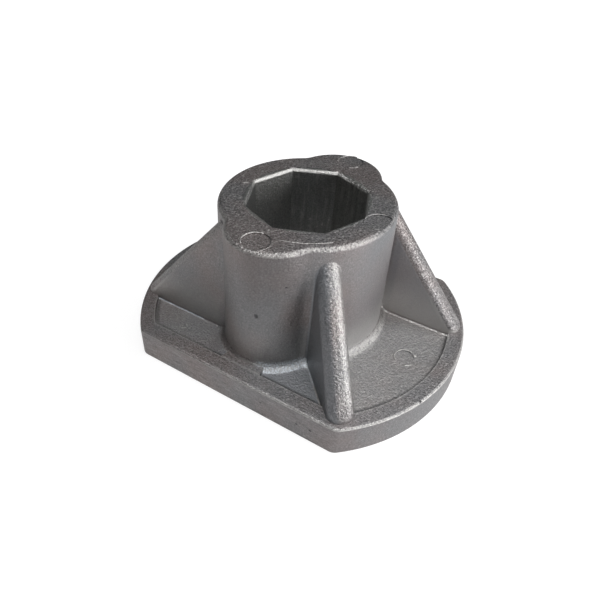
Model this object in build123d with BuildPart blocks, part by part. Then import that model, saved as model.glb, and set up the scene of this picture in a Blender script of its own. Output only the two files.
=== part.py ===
from build123d import *
from math import cos, radians, sin, sqrt, tan
import os

# A cast mower blade adapter. The blade seats under the flange, the boss stands up, and the
# engine shaft goes into the eight-sided bore. Z is the shaft axis, the flange's flats run along X,
# and the origin lies on the axis in the flange's underside. Millimetres and degrees.

# Flange: a disc with two flats
flange_diameter = 80.0
flange_across_flats = 60.0
flange_thickness = 7.7
flange_corner_radius = 2.5
flange_draft = 0.7
flange_top_round = 0.7
flange_bottom_round = 0.2

# Shallow pocket in the flange's top, inside a raised rim, with a land at the front and the back
pocket_depth = 0.7
rim_width = 4.1
rim_arc_width = 3.8
pocket_corner_radius = 2.0
land_half_angle = 11.5

# Boss, with a lobe at the front and the back
overall_height = 37.2
boss_top_radius = 19.3
boss_draft = 1.0
lobe_radius = 10.45
lobe_setback = 6.65
lobe_blend = 3.0
boss_top_round = 1.1
boss_foot_fillet = 2.3

# Eight-sided bore
bore_across_flats = 24.8
bore_mouth_round = 0.9

# Ribs: two along the flats and two across, each leaning from the boss's top to the rim
side_rib_thickness = 4.1
cross_rib_thickness = 4.8
rib_draft = 1.2
rib_crest_flat = 0.1
rib_nose_flat = 0.6
rib_root_fillet = 0.5
rib_cap_drop = 1.5
rib_foot_inset = 0.8
rib_nose_setback = 0.6
rib_root_run = 5.0
right_rib_angle = 0.0
right_rib_offset = 12.9
right_rib_drop = 2.7
left_rib_angle = 180.0
left_rib_offset = 14.9
left_rib_drop = 2.2
front_rib_angle = -45.8
front_rib_drop = 3.1
back_rib_angle = 134.2

# Ejector pin marks
pin_mark_diameter = 6.0
pin_mark_depth = 0.15
lobe_pin_place = 19.75
side_pin_x = 16.9
side_pin_y = -0.35
flange_pin_diameter = 4.4
flange_pin_x = 29.0
flange_pin_y = -1.9

flange_radius = flange_diameter / 2
pocket_floor = flange_thickness - pocket_depth
pocket_radius = flange_radius - rim_arc_width
pocket_width = flange_across_flats - 2 * rim_width
boss_height = overall_height - pocket_floor
boss_spread = boss_height * tan(radians(boss_draft))
lobe_reach = flange_across_flats / 2 - lobe_setback
lobe_centre = lobe_reach - lobe_radius
bore_corner = bore_across_flats / 2 / cos(radians(22.5))
land_side = flange_radius * tan(radians(land_half_angle))
rib_cap_height = overall_height - rib_cap_drop
rib_foot_radius = flange_radius - rib_foot_inset
rib_base = pocket_floor - 2
rib_spread = 2 * (rib_cap_height - rib_base) * tan(radians(rib_draft))

# Four ribs, each a slab that thins upwards and is cut off along its sloping crest
ribs = []
for rib_angle, rib_offset, rib_drop, rib_thickness in (
    (right_rib_angle, right_rib_offset, right_rib_drop, side_rib_thickness),
    (left_rib_angle, left_rib_offset, left_rib_drop, side_rib_thickness),
    (front_rib_angle, 0, front_rib_drop, cross_rib_thickness),
    (back_rib_angle, 0, front_rib_drop, cross_rib_thickness),
):
    along = (cos(radians(rib_angle)), sin(radians(rib_angle)))
    wall = sqrt(boss_top_radius**2 - rib_offset**2)
    foot = sqrt(rib_foot_radius**2 - rib_offset**2)
    rise = overall_height - rib_drop - flange_thickness
    crest_length = sqrt((foot - wall) ** 2 + rise**2)
    lean = rise / crest_length
    crest_plane = Plane(
        origin=(foot * along[0], foot * along[1], flange_thickness),
        z_dir=(lean * along[0], lean * along[1], (foot - wall) / crest_length),
    )
    with BuildPart() as rib:
        with BuildSketch(Plane(origin=(0, 0, rib_base), x_dir=(along[0], along[1], 0))):
            with Locations((wall - rib_root_run, rib_offset)):
                Rectangle(
                    foot - rib_nose_setback - wall + rib_root_run,
                    rib_thickness + rib_spread,
                    align=(Align.MIN, Align.CENTER),
                )
        extrude(amount=rib_cap_height - rib_base, taper=rib_draft)
        split(bisect_by=crest_plane, keep=Keep.BOTTOM)
        nose = rib.faces().sort_by(Axis((0, 0, 0), (along[0], along[1], 0)))[-1]
        nose_sides = nose.edges().filter_by(lambda edge: edge.bounding_box().size.Z > 2)
        fillet(nose_sides, (rib_thickness + rib_spread - rib_nose_flat) / 2)
        crest = rib.faces().sort_by(Axis(crest_plane.origin, crest_plane.z_dir))[-1]
        crest_edges = crest.edges().sort_by(Axis.Z)[:-1]
        fillet(crest_edges, (rib_thickness - rib_crest_flat) / 2)
    ribs.append(rib.part)

with BuildPart() as blade_adapter:
    # Flange
    with BuildSketch() as flange_outline:
        Circle(flange_radius)
        Rectangle(flange_diameter, flange_across_flats, mode=Mode.INTERSECT)
        fillet(flange_outline.vertices(), flange_corner_radius)
    extrude(amount=flange_thickness, taper=flange_draft)
    fillet(blade_adapter.faces().sort_by(Axis.Z)[-1].edges(), flange_top_round)
    fillet(blade_adapter.faces().sort_by(Axis.Z)[0].edges(), flange_bottom_round)

    # Pocket
    with BuildSketch(Plane.XY.offset(pocket_floor)) as pocket_outline:
        Circle(pocket_radius)
        Rectangle(2 * pocket_radius, pocket_width, mode=Mode.INTERSECT)
        fillet(pocket_outline.vertices(), pocket_corner_radius)
    extrude(amount=pocket_depth, mode=Mode.SUBTRACT)

    # Boss
    with BuildSketch(Plane.XY.offset(pocket_floor)) as boss_outline:
        Circle(boss_top_radius + boss_spread)
        with Locations((0, lobe_centre), (0, -lobe_centre)):
            Circle(lobe_radius + boss_spread)
        fillet(boss_outline.vertices(), lobe_blend)
    extrude(amount=boss_height, taper=boss_draft)
    boss_foot = blade_adapter.edges().filter_by(
        lambda edge: abs(edge.center().Z - pocket_floor) < 0.01
        and sqrt(edge.center().X ** 2 + edge.center().Y ** 2) < lobe_reach + 2
        and edge.bounding_box().max.Y < pocket_width / 2 - 0.1
        and edge.bounding_box().min.Y > 0.1 - pocket_width / 2
    )
    fillet(boss_foot, boss_foot_fillet)
    fillet(blade_adapter.faces().sort_by(Axis.Z)[-1].edges(), boss_top_round)

    # Lands
    with BuildSketch(Plane.XY.offset(pocket_floor - 0.2)) as lands:
        Polygon((0, 0), (land_side, -flange_radius), (-land_side, -flange_radius), align=None)
        Polygon((0, 0), (land_side, flange_radius), (-land_side, flange_radius), align=None)
        Rectangle(flange_diameter, pocket_width + 1, mode=Mode.INTERSECT)
    extrude(amount=pocket_depth + 0.2)

    # Ribs, filleted where their sides meet the boss's wall, its foot and the pocket floor
    add(ribs)
    seams = blade_adapter.edges(Select.LAST)
    wall_seams = seams.filter_by(GeomType.LINE, reverse=True).filter_by(
        lambda edge: edge.bounding_box().size.Z > 20
    )
    foot_seams = seams.filter_by(GeomType.BSPLINE).filter_by(
        lambda edge: edge.bounding_box().min.Z < pocket_floor + 0.01
        and sqrt(edge.center().X ** 2 + edge.center().Y ** 2) < lobe_reach + 2
    )
    floor_seams = seams.filter_by(GeomType.LINE).filter_by(
        lambda edge: abs(edge.center().Z - pocket_floor) < 0.01
        and abs(edge.center().Y) < pocket_width / 2 - 1.5
    )
    fillet(wall_seams + foot_seams + floor_seams, rib_root_fillet)

    # Bore
    with BuildSketch() as bore_outline:
        RegularPolygon(bore_corner, 8, rotation=0)
    extrude(amount=overall_height, mode=Mode.SUBTRACT)
    bore_mouth = blade_adapter.faces().sort_by(Axis.Z)[-1].inner_wires()[0].edges()
    fillet(bore_mouth, bore_mouth_round)

    # Ejector pin marks
    with BuildSketch(Plane.XY.offset(overall_height)) as top_marks:
        with Locations((0, lobe_pin_place), (0, -lobe_pin_place), (side_pin_x, side_pin_y)):
            Circle(pin_mark_diameter / 2)
    extrude(amount=-pin_mark_depth, mode=Mode.SUBTRACT)
    with BuildSketch(Plane.XY.offset(pocket_floor)) as flange_mark:
        with Locations((flange_pin_x, flange_pin_y)):
            Circle(flange_pin_diameter / 2)
    extrude(amount=-pin_mark_depth, mode=Mode.SUBTRACT)

blade_adapter.part.label = "blade_adapter"
os.makedirs("parts", exist_ok=True)
export_step(blade_adapter.part, "parts/blade_adapter.step")
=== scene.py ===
import math

import bmesh
import bpy
from mathutils import Matrix, Vector


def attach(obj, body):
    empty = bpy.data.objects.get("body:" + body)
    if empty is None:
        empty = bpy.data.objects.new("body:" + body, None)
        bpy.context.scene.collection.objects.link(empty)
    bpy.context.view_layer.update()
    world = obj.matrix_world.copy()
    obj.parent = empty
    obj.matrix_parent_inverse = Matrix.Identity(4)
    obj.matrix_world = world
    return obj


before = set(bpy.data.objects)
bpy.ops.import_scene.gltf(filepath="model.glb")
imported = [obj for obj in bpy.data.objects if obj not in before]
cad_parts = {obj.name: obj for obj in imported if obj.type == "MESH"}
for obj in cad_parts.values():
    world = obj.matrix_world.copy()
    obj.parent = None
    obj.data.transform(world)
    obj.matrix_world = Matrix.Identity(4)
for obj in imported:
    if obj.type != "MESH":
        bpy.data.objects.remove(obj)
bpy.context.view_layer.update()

millimetre = 0.001
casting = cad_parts["blade_adapter"]
scene = bpy.context.scene
print("frame loaded")


# A socket that adds Math nodes when it is used in an expression
class Value:
    def __init__(self, maker, socket):
        self.maker, self.socket = maker, socket

    def math(self, operation, *others):
        sockets = {index: value for index, value in enumerate((self,) + others)}
        return self.maker.node("ShaderNodeMath", {"operation": operation}, sockets)

    def flipped(self, operation, other):
        return self.maker.node("ShaderNodeMath", {"operation": operation}, {0: other, 1: self})

    def __add__(self, other):
        return self.math("ADD", other)

    def __sub__(self, other):
        return self.math("SUBTRACT", other)

    def __mul__(self, other):
        return self.math("MULTIPLY", other)

    def __pow__(self, other):
        return self.math("POWER", other)

    def __neg__(self):
        return self.math("MULTIPLY", -1.0)

    def __rsub__(self, other):
        return self.flipped("SUBTRACT", other)

    __radd__ = __add__
    __rmul__ = __mul__


# One material and the nodes in it
class Finish:
    def __init__(self, name):
        self.material = bpy.data.materials.new(name)
        self.material.use_nodes = True
        self.tree = self.material.node_tree
        self.shader = self.tree.nodes["Principled BSDF"]

    def node(self, kind, settings=None, sockets=None, output=0):
        made = self.tree.nodes.new(kind)
        for key, value in (settings or {}).items():
            setattr(made, key, value)
        for key, value in (sockets or {}).items():
            self.feed(made.inputs[key], value)
        return Value(self, made.outputs[output])

    def feed(self, socket, value):
        if isinstance(value, Value):
            self.tree.links.new(value.socket, socket)
        else:
            socket.default_value = value

    def surface(self, name, value):
        self.feed(self.shader.inputs[name], value)


# Camera: where the photograph was taken from
cameraPlace = {
    "yaw": 35.167,
    "pitch": 45.060,
    "roll": -0.651,
    "location": (0.050084, -0.093041, 0.096176),
    "lens": 32.542,
    "sensor": 36.0,
    "shift": (0.08336, 0.08473),
    "clipStart": 0.005,
}


def makeCamera(place):
    yaw, pitch, roll = (math.radians(place[key]) for key in ("yaw", "pitch", "roll"))
    back = Vector((
        math.sin(yaw) * math.cos(pitch),
        -math.cos(yaw) * math.cos(pitch),
        math.sin(pitch),
    ))
    level = Vector((math.cos(yaw), math.sin(yaw), 0.0))
    right = level * math.cos(roll) + back.cross(level) * math.sin(roll)
    up = back.cross(level) * math.cos(roll) - level * math.sin(roll)
    data = bpy.data.cameras.new("camera")
    data.sensor_width = place["sensor"]
    data.lens = place["lens"]
    data.shift_x, data.shift_y = place["shift"]
    data.clip_start = place["clipStart"]
    camera = bpy.data.objects.new("camera", data)
    scene.collection.objects.link(camera)
    turn = Matrix((right, up, back)).transposed().to_4x4()
    camera.matrix_world = Matrix.Translation(place["location"]) @ turn
    scene.camera = camera


makeCamera(cameraPlace)
print("camera placed")

# Lamps: round softboxes that face the casting, each with its azimuth, elevation and power
lampRig = {
    "distance": 0.5,
    "width": 0.22,
    "centre": (0.0, 0.0, 0.02),
    "lamps": {
        "sideRight": (0.0, 6.0, 1.257),
        "lowRight": (30.0, 28.0, 0.813),
        "overFront": (270.0, 80.0, 0.657),
        "overRight": (0.0, 80.0, 0.495),
        "backRight": (45.0, 55.0, 0.393),
        "front": (270.0, 55.0, 0.377),
        "frontRight": (315.0, 55.0, 0.313),
    },
}


def makeLamps(rig):
    centre = Vector(rig["centre"])
    for name, (azimuth, elevation, power) in rig["lamps"].items():
        turn, rise = math.radians(azimuth), math.radians(elevation)
        toLamp = Vector((
            math.cos(rise) * math.cos(turn),
            math.cos(rise) * math.sin(turn),
            math.sin(rise),
        ))
        data = bpy.data.lights.new(name, "AREA")
        data.shape = "DISK"
        data.size = rig["width"]
        data.energy = power
        lamp = bpy.data.objects.new(name, data)
        scene.collection.objects.link(lamp)
        lamp.location = centre + toLamp * rig["distance"]
        lamp.rotation_euler = toLamp.to_track_quat("Z", "Y").to_euler()


makeLamps(lampRig)

# World: white to the camera alone, so it adds no light
studioWorld = {"colour": (1.0, 1.0, 1.0, 1.0)}


def makeWorld(look):
    world = bpy.data.worlds.new("studio")
    scene.world = world
    world.use_nodes = True
    tree = world.node_tree
    rays = tree.nodes.new("ShaderNodeLightPath")
    background = tree.nodes["Background"]
    background.inputs["Color"].default_value = look["colour"]
    tree.links.new(rays.outputs["Is Camera Ray"], background.inputs["Strength"])


makeWorld(studioWorld)

# Floor: white paper, which keeps the casting's shadow. The metal mirrors only part of its white.
paperFloor = {
    "size": 3.0,
    "paper": (0.8, 0.8, 0.8, 1.0),
    "shadowed": (0.32, 0.32, 0.32, 1.0),   # the part of the white that a shadow takes away
    "glowNear": 0.78,
    "glowFar": 1.0,
    "nearRadius": 0.055,
    "farRadius": 0.13,
    "inMetal": 0.35,                       # how much of the white the metal mirrors
}


def makeFloor(look):
    bpy.ops.mesh.primitive_plane_add(size=look["size"])
    floor = bpy.context.object
    floor.name = "floor"
    paper = Finish("paper")
    place = paper.node("ShaderNodeTexCoord", output="Object")
    radius = paper.node("ShaderNodeVectorMath", {"operation": "LENGTH"}, {0: place}, "Value")
    glow = paper.node("ShaderNodeMapRange", None, {
        "Value": radius,
        "From Min": look["nearRadius"],
        "From Max": look["farRadius"],
        "To Min": look["glowNear"],
        "To Max": look["glowFar"],
    })
    lit = paper.node("ShaderNodeBsdfDiffuse", None, {"Color": look["paper"]})
    shade = paper.node("ShaderNodeBsdfDiffuse", None, {"Color": look["shadowed"]})
    white = paper.node("ShaderNodeEmission", None, {"Strength": glow})
    seen = paper.node("ShaderNodeAddShader", None, {0: shade, 1: white})
    toEye = paper.node("ShaderNodeLightPath", output="Is Camera Ray")
    toGlass = paper.node("ShaderNodeLightPath", output="Is Transmission Ray")
    toMetal = paper.node("ShaderNodeLightPath", output="Is Glossy Ray")
    mixed = paper.node("ShaderNodeMixShader", None, {
        0: toEye + toGlass + toMetal * look["inMetal"], 1: lit, 2: seen,
    })
    end = paper.tree.nodes["Material Output"]
    paper.tree.links.new(mixed.socket, end.inputs["Surface"])
    paper.tree.nodes.remove(paper.shader)
    floor.data.materials.append(paper.material)


makeFloor(paperFloor)
print("studio lit")

# Cast alloy, shot blasted: sizes and places in millimetres
castLook = {
    "grey": (0.276, 0.258, 0.255, 1.0),
    "warm": (0.294, 0.258, 0.253, 1.0),
    "cool": (0.256, 0.258, 0.266, 1.0),
    "chill": (0.270, 0.285, 0.305, 1.0),
    # painted highlight for the fillet at the boss's foot
    "footHighlight": (0.62, 0.66, 0.70, 1.0),
    # pale of speckles, streaks and wear, also used for painted light and painted glints
    "pale": (0.56, 0.55, 0.535, 1.0),
    # painted light for the right rib's faces
    "paintedLightBlue": (0.55, 0.55, 0.575, 1.0),
    # greenish painted shade for the bore
    "greenShade": (0.225, 0.240, 0.226, 1.0),
    "darkRed": (0.150, 0.115, 0.115, 1.0),
    # painted highlight for the bore's mouth
    "bright": (0.72, 0.71, 0.69, 1.0),
    # dark of pits, speckles and scratches, also used for painted shade
    "darkAndShade": (0.070, 0.070, 0.073, 1.0),
    "metallic": 0.9,
    "roughness": 0.52,
    "grainRoughness": 0.25,
    "wornGloss": 0.1,
    "slopeGloss": 0.1,
    "grainHeight": 0.12,
    "fineHeight": 0.04,
    "waveHeight": 0.06,
    "noises": {                            # size, detail, roughness and stretch
        "grain": (0.55, 3.0, 0.6, None),
        "fine": (0.24, 2.0, 0.5, None),
        "wave": (9.0, 1.0, 0.5, None),
        "blotch": (14.0, 2.0, 0.5, None),
        "speckle": (0.36, 1.0, 0.5, None),
        "glint": (1.1, 1.0, 0.5, None),
        "streak": (0.8, 2.0, 0.6, (0.3, 1.0, 1.8)),    # drawn out along x
        "drip": (0.8, 2.0, 0.6, (1.0, 1.0, 0.12)),     # drawn out down the bore
    },
    "topLevel": 37.2,
    "pocketRadius": 36.2,
    "pocketHalfWidth": 25.9,
    "acrossRib": (0.717, 0.697),           # from the front rib's left face to its right one
    "frontNarrowing": 0.8,                 # the higher, the narrower the patch on the boss's front
    "wearSlant": 0.12,                     # how far the worn edge turns to the left
    "speckled": {"everywhere": 0.24, "upward": 0.2, "top": 0.3, "bore": 0.4},
    "relief": {"everywhere": 1.15, "upward": 1.1, "bore": 0.8, "sloping": 0.7},
    # Strengths, some of which the patches below add to or take from
    "tinted": 0.8,
    "pocketPale": 0.18,
    "wallPale": 0.16,
    "ribShade": 0.3,
    "topShade": 0.05,
    "footChill": 0.7,
    "boreGreenShade": 0.6,
    "boreShade": 0.14,
    "boreBackShade": 0.2,
    "boreStreaks": 0.3,
    "sideChill": 0.35,
    "stepShadeSpread": 0.9,
    "stepShadeStrength": 0.75,
    "crestWearAndHighlight": 0.3,
    "footHighlightShare": 0.3,
    "mouthShade": 0.35,
    # Each patch: its strength, then its limits, which are what is measured, where it starts
    # and where it is full. Tilt is 1 on a face that looks up and 0 on an upright one.
    "patches": {
        "upward": (1.0, ("tilt", 0.5, 0.95)),
        "sloping": (1.0, ("tilt", 0.08, 0.4), ("tilt", 0.98, 0.85)),
        "top": (1.0, ("z", 36.2, 36.6)),
        "bore": (1.0, ("reach", 13.8, 13.6)),
        "frontRib": (1.0, ("offRib", 3.6, 3.3), ("y", -9.0, -12.0), ("x", 9.0, 12.0),
                     ("z", 7.3, 7.8)),
        "farSide": (1.0, ("y", 8.0, 11.0)),
        # the grey all over
        "blotch": (1.0, ("blotch", 0.35, 0.65)),
        "overRim": (0.45, ("z", 7.9, 8.6)),
        "paleSpeckle": (1.0, ("speckle", 0.5, 0.75)),
        "darkSpeckle": (1.0, ("speckle", 0.5, 0.25)),
        # the pocket, the walls, the top and the bore, with painted light and painted shade
        "pocket": (1.0, ("tilt", 0.5, 0.95), ("z", 7.4, 7.2)),
        "pocketRight": (0.35, ("x", 15.0, 25.0)),
        "ribFace": (0.45, ("reach", 20.0, 20.8), ("x", 2.0, 8.0), ("y", 2.0, 8.0),
                    ("tilt", 0.2, 0.1), ("z", 7.5, 9.0)),
        "lowWall": (1.0, ("tilt", 0.3, 0.2), ("z", 20.0, 9.0), ("z", 7.2, 8.0)),
        "lowWallRight": (0.62, ("x", 8.0, 14.0)),
        "lowWallLeft": (0.34, ("x", -10.0, -13.0)),
        "ribLeft": (1.0, ("sideways", -0.1, -0.6)),
        "ribHigh": (0.12, ("z", 14.0, 24.0)),
        "backLobe": (0.12, ("y", 8.0, 14.0), ("x", -2.0, 4.0)),
        "nearFoot": (1.0, ("reach", 31.0, 26.0), ("x", 6.0, 0.0)),
        "besideRib": (1.0, ("y", -17.0, -19.0), ("aside", -2.5, -3.2), ("x", 2.0, 4.0)),
        "footLeft": (0.4, ("x", -4.0, -9.0)),
        "bossFront": (0.38, ("tilt", 0.3, 0.2), ("ahead", 0.0, 4.0), ("z", 13.0, 31.0),
                      ("reach", 29.0, 28.0), ("x", -3.0, 2.0)),
        "bossRight": (1.0, ("tilt", 0.3, 0.2), ("x", 15.0, 19.0), ("reach", 22.5, 21.5)),
        "lowRight": (0.2, ("z", 20.0, 9.0)),
        "ribChill": (0.6, ("sideways", 0.0, -0.5)),
        "boreBack": (1.0, ("y", 9.4, 9.6)),
        "boreRight": (0.3, ("x", -0.3, 0.3)),
        "boreLeft": (0.3, ("y", 0.2, -0.2), ("x", -9.0, -9.4)),
        # painted shade in the pocket's step and round the pin marks
        "stepShadeFront": (0.5, ("y", -8.0, -22.0)),
        "stepShadeLeft": (0.4, ("x", -5.0, -15.0)),
        "stepShade": (1.0, ("insideStepShade", 0.0, 0.8), ("z", 7.45, 7.25)),
        "pinRing": (0.9, ("offRing", 0.22, 0.06), ("pastPin", -1.5, 1.5)),
        # wear and painted highlight
        "lip": (0.6, ("toStep", 0.45, 0.15), ("z", 7.5, 7.7), ("z", 9.0, 8.0)),
        "bossEdge": (0.6, ("frontward", -2.0, 7.0)),
        "crest": (1.0, ("z", 8.5, 12.0)),
        "ribRight": (2.0, ("sideways", -0.2, 0.3)),
        "rimEdge": (0.75, ("tilt", 0.15, 0.6), ("tilt", 0.99, 0.9), ("z", 6.9, 7.2),
                    ("z", 9.0, 8.0), ("x", -20.0, 15.0)),
        "wornGrain": (1.0, ("grain", 0.3, 0.6)),
        "lowEdge": (1.0, ("z", 7.03, 7.1), ("z", 7.45, 7.35), ("tilt", 0.2, 0.6)),
        "topBurr": (0.65, ("z", 37.22, 37.28), ("grain", 0.3, 0.5)),
        "outerBurr": (0.85, ("reach", 27.0, 27.5)),
        # painted highlight on the fillet at the boss's foot
        "footFillet": (1.0, ("z", 7.1, 7.5), ("z", 9.6, 9.0)),
        "footHighlighted": (1.0, ("reach", 27.5, 26.5), ("x", 2.0, 4.0), ("aside", -2.5, -3.2),
                    ("y", -14.0, -16.0)),
        "footHighlightSpeckle": (0.7, ("speckle", 0.35, 0.65)),
        "leftRoot": (1.0, ("x", -16.0, -18.0), ("y", -16.0, -16.5), ("y", -20.0, -19.5)),
        # the bore's mouth and walls, and the flange's front wall
        "mouth": (1.0, ("reach", 14.6, 14.2), ("z", 36.2, 36.4), ("tilt", 0.15, 0.45),
                  ("tilt", 0.97, 0.82)),
        "mouthBack": (1.0, ("y", -3.0, 1.0)),
        "mouthRight": (0.7, ("x", 2.0, 6.0)),
        "streaksBack": (0.7, ("y", 9.4, 9.6)),
        "paleDrip": (0.2, ("drip", 0.52, 0.75)),
        "darkDrip": (0.2, ("drip", 0.5, 0.3)),
        "glint": (0.5, ("glint", 0.66, 0.74), ("y", 9.4, 9.6), ("z", 28.0, 22.0)),
        "frontWall": (1.0, ("y", -29.3, -29.6), ("tilt", 0.3, 0.2)),
        "paleStreak": (0.25, ("streak", 0.54, 0.7)),
        "darkStreak": (0.3, ("streak", 0.44, 0.3)),
        "cornerWall": (0.13, ("tilt", 0.3, 0.2), ("y", -25.0, -28.0), ("reach", 30.0, 31.0),
                       ("x", -5.0, 10.0), ("z", 7.4, 7.0)),
    },
    "pins": ((0.0, -19.75), (0.0, 19.75), (16.9, -0.35)),
    "pinRadius": 3.0,
    "pits": (                              # place and size of each dark pit
        ((2.6, -23.3, 21.7), 0.8),
        ((7.6, -20.2, 29.4), 0.4),
        ((37.3, -13.0, 7.5), 0.55),
        ((32.2, -24.1, 7.5), 0.5),
        ((8.2, -30.0, 4.2), 0.4),
        ((17.4, -30.0, 3.5), 0.45),
        ((20.8, -30.0, 3.7), 0.6),
        ((-16.6, -30.0, 2.9), 0.35),
    ),
    "pitRagged": 0.5,
    "pitSoft": 0.4,
    "pitShade": 0.8,
    "pitDepth": 0.2,
}


def makeCastAlloy(look):
    alloy = Finish("castAlloy")
    node = alloy.node
    metres = node("ShaderNodeTexCoord", output="Object")
    place = node("ShaderNodeVectorMath", {"operation": "SCALE"}, {
        0: metres, "Scale": 1.0 / millimetre,
    })
    normal = node("ShaderNodeNewGeometry", output="Normal")
    x, y, z = (node("ShaderNodeSeparateXYZ", None, {0: place}, axis) for axis in "XYZ")
    eastward, northward, tilt = (
        node("ShaderNodeSeparateXYZ", None, {0: normal}, axis) for axis in "XYZ"
    )
    reach = (x * x + y * y) ** 0.5
    acrossX, acrossY = look["acrossRib"]
    aside = x * acrossX + y * acrossY
    toArc = look["pocketRadius"] - reach
    toFlat = look["pocketHalfWidth"] - y.math("ABSOLUTE")

    # What the patches measure
    at = {
        "x": x,
        "y": y,
        "z": z,
        "tilt": tilt,
        "reach": reach,                    # from the bore's axis
        "aside": aside,                    # from the front rib's middle, to its right
        "offRib": aside.math("ABSOLUTE"),
        "sideways": eastward * acrossX + northward * acrossY,      # how far a face looks that way
        "ahead": -y - reach * look["frontNarrowing"],
        "frontward": -y - x * look["wearSlant"],
        "toStep": toArc.math("MINIMUM", toFlat).math("ABSOLUTE"),  # from the pocket's step
    }
    for name, (size, detail, roughness, stretch) in look["noises"].items():
        where = place
        if stretch:
            where = node("ShaderNodeVectorMath", {"operation": "MULTIPLY"}, {0: place, 1: stretch})
        at[name] = node("ShaderNodeTexNoise", None, {
            "Vector": where,
            "Scale": 1.0 / size,
            "Detail": detail,
            "Roughness": roughness,
        }, "Fac")
    grain, fine, wave = at["grain"], at["fine"], at["wave"]

    def ramp(value, low, high):
        return node("ShaderNodeMapRange", {"interpolation_type": "SMOOTHSTEP"}, {
            "Value": value, "From Min": low, "From Max": high,
        })

    def patch(name):
        mask, *limits = look["patches"][name]
        for measure, start, full in limits:
            if start < full:
                inside = ramp(at[measure], start, full)
            else:
                inside = ramp(start - at[measure], 0.0, start - full)
            mask = inside * mask
        return mask

    def blend(mask, first, second):
        return node("ShaderNodeMix", {"data_type": "RGBA"}, {0: mask, 6: first, 7: second}, 2)

    def apart(point):
        sockets = {0: place, 1: point}
        return node("ShaderNodeVectorMath", {"operation": "DISTANCE"}, sockets, "Value")

    upward, sloping = patch("upward"), patch("sloping")
    onTop, inBore, onRib = patch("top"), patch("bore"), patch("frontRib")
    farSide, boreBack = patch("farSide"), patch("boreBack")

    # The grey all over, with warm and cool blotches, and speckles that vary in strength
    tone = blend(patch("blotch"), look["warm"], look["cool"])
    tone = blend(look["tinted"], look["grey"], tone)
    speckled = look["speckled"]
    coarse = speckled["everywhere"] + upward * speckled["upward"]
    coarse = coarse + upward * onTop * speckled["top"] + inBore * speckled["bore"]
    coarse = coarse + sloping * patch("overRim")
    tone = blend(patch("paleSpeckle") * coarse, tone, look["pale"])
    tone = blend(patch("darkSpeckle") * coarse, tone, look["darkAndShade"])

    # Painted light: paler on the pocket floor, more so on its right, on the right rib's faces and
    # low on the walls
    inPocket = patch("pocket") * (1.0 + patch("pocketRight"))
    tone = blend(inPocket * look["pocketPale"], tone, look["pale"])
    tone = blend(patch("ribFace"), tone, look["paintedLightBlue"])
    wallPale = look["wallPale"] + patch("lowWallRight") + patch("lowWallLeft")
    tone = blend(patch("lowWall") * wallPale * (1.0 - onRib), tone, look["pale"])

    # Painted shade: darker on the front rib's left face and on the top
    ribShade = patch("ribLeft") * (look["ribShade"] + patch("ribHigh"))
    tone = blend(onRib * ribShade, tone, look["darkAndShade"])
    tone = blend(onTop * upward * (look["topShade"] + patch("backLobe")), tone, look["darkAndShade"])

    # Cooler round the boss's foot and on its right; painted shade high on its front and in the
    # bore, which is also greener
    nearFoot = patch("nearFoot").math("MAXIMUM", patch("besideRib")) * inPocket
    tone = blend(nearFoot * (look["footChill"] - patch("footLeft")), tone, look["chill"])
    sideChill = patch("bossRight") * (look["sideChill"] - patch("lowRight"))
    tone = blend(sideChill + onRib * patch("ribChill"), tone, look["chill"])
    tone = blend(inBore * look["boreGreenShade"], tone, look["greenShade"])
    boreShade = look["boreShade"] + boreBack * (look["boreBackShade"] - patch("boreRight"))
    boreShade = boreShade + patch("boreLeft")
    tone = blend(patch("bossFront") + inBore * boreShade, tone, look["darkAndShade"])

    # Painted shade in the corner of the pocket's step, wider at the front, and round the pin marks
    at["insideStepShade"] = look["stepShadeSpread"] + patch("stepShadeFront") - at["toStep"]
    stepShade = patch("stepShade") * (1.0 - patch("stepShadeLeft"))
    for pinX, pinY in look["pins"]:
        gap = apart((pinX, pinY, look["topLevel"]))
        at["offRing"] = (gap - look["pinRadius"]).math("ABSOLUTE")
        at["pastPin"] = x - pinX
        stepShade = stepShade + patch("pinRing") * onTop
    tone = blend(stepShade * look["stepShadeStrength"], tone, look["darkAndShade"])
    tone = blend(patch("lip") * grain, tone, look["pale"])

    # Wear and painted highlight: the boss's top edge at the front, the rib crests and fillets, the
    # flange's edge
    rubAndHighlight = onTop * sloping * patch("bossEdge")
    crest = sloping * (1.0 - onTop) * patch("crest")
    # painted highlight: none on the crests' far side, and twice as much on the right half of the
    # front rib's crest
    crest = crest * (look["crestWearAndHighlight"] - farSide * look["crestWearAndHighlight"])
    crest = crest * (1.0 - onRib) + crest * onRib * patch("ribRight")
    wearAndHighlight = (rubAndHighlight + crest + patch("rimEdge")) * patch("wornGrain")
    lowEdge = patch("lowEdge")
    burr = patch("topBurr") + lowEdge * patch("outerBurr")
    tone = blend((wearAndHighlight + burr).math("MINIMUM", 1.0), tone, look["pale"])

    # Painted highlight on the fillet at the boss's foot, beside the front rib and at the front
    # left
    foot = lowEdge.math("MAXIMUM", patch("footFillet") * sloping) * patch("footHighlighted")
    foot = foot * (look["footHighlightShare"] + patch("footHighlightSpeckle"))
    leftRoot = lowEdge * patch("leftRoot")
    tone = blend(foot.math("MAXIMUM", leftRoot), tone, look["footHighlight"])

    # Painted highlight on the back of the bore's rounded mouth, painted shade at its front
    mouth = patch("mouth")
    shining = patch("mouthBack") * (1.0 - patch("mouthRight"))
    tone = blend(mouth * shining, tone, look["bright"])
    tone = blend(mouth * (1.0 - shining) * look["mouthShade"], tone, look["darkAndShade"])

    # Streaks and painted glints on the bore's far wall
    streaks = inBore * (look["boreStreaks"] + patch("streaksBack"))
    tone = blend(streaks * patch("paleDrip"), tone, look["pale"])
    tone = blend(streaks * patch("darkDrip"), tone, look["darkAndShade"])
    tone = blend(inBore * patch("glint"), tone, look["pale"])

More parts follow.
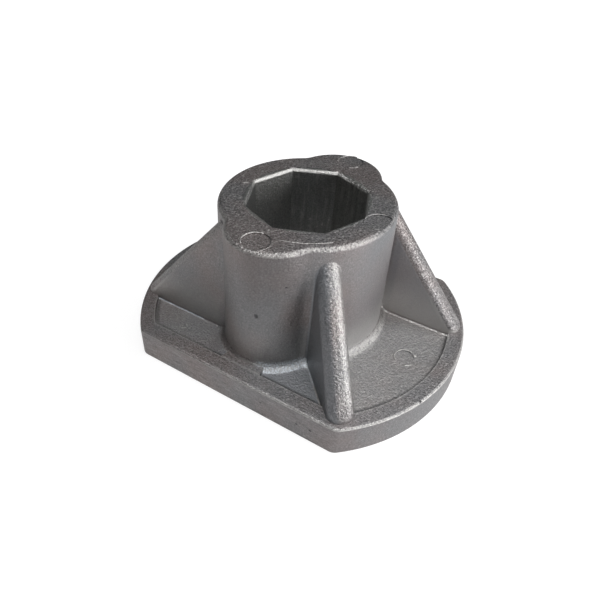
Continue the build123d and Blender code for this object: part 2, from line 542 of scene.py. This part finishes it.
    # Scratches drawn along the flange's front wall, and a darker, redder tone round its corner
    frontWall = patch("frontWall")
    tone = blend(frontWall * patch("paleStreak"), tone, look["pale"])
    tone = blend(frontWall * patch("darkStreak"), tone, look["darkAndShade"])
    tone = blend(patch("cornerWall"), tone, look["darkRed"])

    # Dark pits with ragged edges
    hollow = 0.0
    for centre, size in look["pits"]:
        depth = size - apart(centre) - fine * size * look["pitRagged"]
        hollow = ramp(depth, 0.0, size * look["pitSoft"]) + hollow
    tone = blend(hollow * look["pitShade"], tone, look["darkAndShade"])

    alloy.surface("Base Color", tone)
    alloy.surface("Metallic", look["metallic"])
    dull = look["roughness"] + (grain - 0.5) * look["grainRoughness"] - wearAndHighlight * look["wornGloss"]
    dull = dull - (onRib + farSide) * sloping * look["slopeGloss"]
    alloy.surface("Roughness", dull)

    relief = look["relief"]
    taller = relief["everywhere"] + upward * relief["upward"]
    taller = taller + inBore * relief["bore"] + sloping * relief["sloping"]
    rough = grain * look["grainHeight"] + fine * look["fineHeight"]
    height = rough * taller + wave * look["waveHeight"] - hollow * look["pitDepth"]
    bump = node("ShaderNodeBump", None, {
        "Strength": 1.0, "Distance": millimetre, "Height": height,
    })
    alloy.surface("Normal", bump)
    return alloy.material


castAlloy = makeCastAlloy(castLook)
for slot in casting.material_slots:
    slot.material = castAlloy
print("casting finished")


# Takes a mesh in millimetres
def addPiece(name, mesh):
    mesh.normal_update()
    bmesh.ops.recalc_face_normals(mesh, faces=mesh.faces)
    for vertex in mesh.verts:
        vertex.co *= millimetre
    data = bpy.data.meshes.new(name)
    mesh.to_mesh(data)
    mesh.free()
    for face in data.polygons:
        face.use_smooth = True
    piece = bpy.data.objects.new(name, data)
    scene.collection.objects.link(piece)
    data.materials.append(castAlloy)
    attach(piece, "root")


def turnAbout(mesh, vertices, axis, degrees):
    turn = Matrix.Rotation(math.radians(degrees), 3, axis)
    bmesh.ops.rotate(mesh, cent=(0, 0, 0), verts=vertices, matrix=turn)


# Burrs that the mould left: raised lines round the pin marks and on the boss's top
pinBurrs = {
    "sides": 6,
    "step": 12.0,                          # degrees of arc for each step, up to the step radius
    "stepRadius": 4.0,
    "fewestSteps": 4,
    # level, centre, radius, first and last angle, width, height
    "arcs": (
        (37.2, (0.0, -19.75), 2.95, 92.0, 230.0, 0.36, 0.2),
        (37.2, (0.0, -19.75), 3.35, -50.0, 5.0, 0.16, 0.08),
        (37.2, (0.0, 19.75), 2.95, 85.0, 204.0, 0.28, 0.16),
        (37.2, (0.0, 19.75), 3.0, -76.0, -20.0, 0.28, 0.16),
        (37.2, (16.9, -0.35), 2.95, 84.0, 194.0, 0.26, 0.14),
        (37.2, (16.9, -0.35), 2.95, -92.0, -66.0, 0.22, 0.12),
        (7.0, (29.3, -2.1), 2.4, 74.0, 232.0, 0.36, 0.22),
        (7.0, (29.3, -2.1), 2.65, -72.0, -34.0, 0.38, 0.22),
        (37.2, (0.0, 0.0), 17.4, -80.0, -43.0, 0.22, 0.13),
    ),
}


def makeArcs(look):
    mesh = bmesh.new()
    for level, (cx, cy), radius, first, last, width, height in look["arcs"]:
        ring = bmesh.ops.create_circle(mesh, cap_ends=True, segments=look["sides"], radius=0.5)
        start = ring["verts"]
        faces = list({face for vertex in start for face in vertex.link_faces})
        bmesh.ops.scale(mesh, vec=(width, 2.0 * height, 1.0), verts=start)   # half of it is sunk
        turnAbout(mesh, start, "X", 90.0)
        bmesh.ops.translate(mesh, vec=(radius, 0.0, level), verts=start)
        turnAbout(mesh, start, "Z", first)
        bmesh.ops.translate(mesh, vec=(cx, cy, 0.0), verts=start)
        finer = max(1.0, radius / look["stepRadius"])
        steps = max(look["fewestSteps"], round((last - first) / look["step"] * finer))
        bmesh.ops.spin(mesh, geom=start + faces, cent=(cx, cy, 0.0), axis=(0, 0, 1),
                       angle=math.radians(last - first), steps=steps, use_merge=False)
    addPiece("pinBurrs", mesh)


makeArcs(pinBurrs)

# Small slivers and crumbs: place, half sizes and turn about the upright axis
castCrumbs = {
    "subdivisions": 2,
    "crumbs": (
        ((-14.7, -2.05, 37.2), (1.05, 0.15, 0.13), 28.0),
        ((-16.65, -3.5, 37.2), (0.4, 0.1, 0.06), 80.0),
        ((-13.6, 11.2, 37.2), (0.7, 0.1, 0.06), 70.0),
        ((31.0, -0.5, 7.0), (0.4, 0.4, 0.3), 0.0),
        ((28.0, -5.3, 7.0), (0.9, 0.09, 0.05), 32.0),
        ((-3.8, -28.1, 7.7), (0.35, 0.2, 0.12), 20.0),
        ((-9.3, -28.9, 7.7), (0.3, 0.18, 0.1), 60.0),
        ((-4.25, -25.6, 7.7), (0.3, 0.14, 0.1), -30.0),
        ((-18.9, -22.9, 7.0), (0.9, 0.14, 0.16), 35.0),
        ((-17.7, -22.1, 7.0), (0.6, 0.12, 0.14), 75.0),
        ((-19.0, -21.6, 7.0), (0.5, 0.12, 0.14), -10.0),
        ((29.6, 23.3, 7.7), (0.5, 0.12, 0.08), -45.0),
        ((31.9, 23.1, 7.7), (0.4, 0.14, 0.08), -40.0),
        ((36.9, 13.1, 7.7), (0.4, 0.16, 0.08), -70.0),
    ),
}


def makeCrumbs(look):
    mesh = bmesh.new()
    for place, halves, turn in look["crumbs"]:
        ball = bmesh.ops.create_icosphere(
            mesh, subdivisions=look["subdivisions"], radius=1.0
        )["verts"]
        bmesh.ops.scale(mesh, vec=halves, verts=ball)
        turnAbout(mesh, ball, "Z", turn)
        bmesh.ops.translate(mesh, vec=place, verts=ball)
    addPiece("castCrumbs", mesh)


makeCrumbs(castCrumbs)
print("burrs added")

scene.view_settings.view_transform = "Standard"
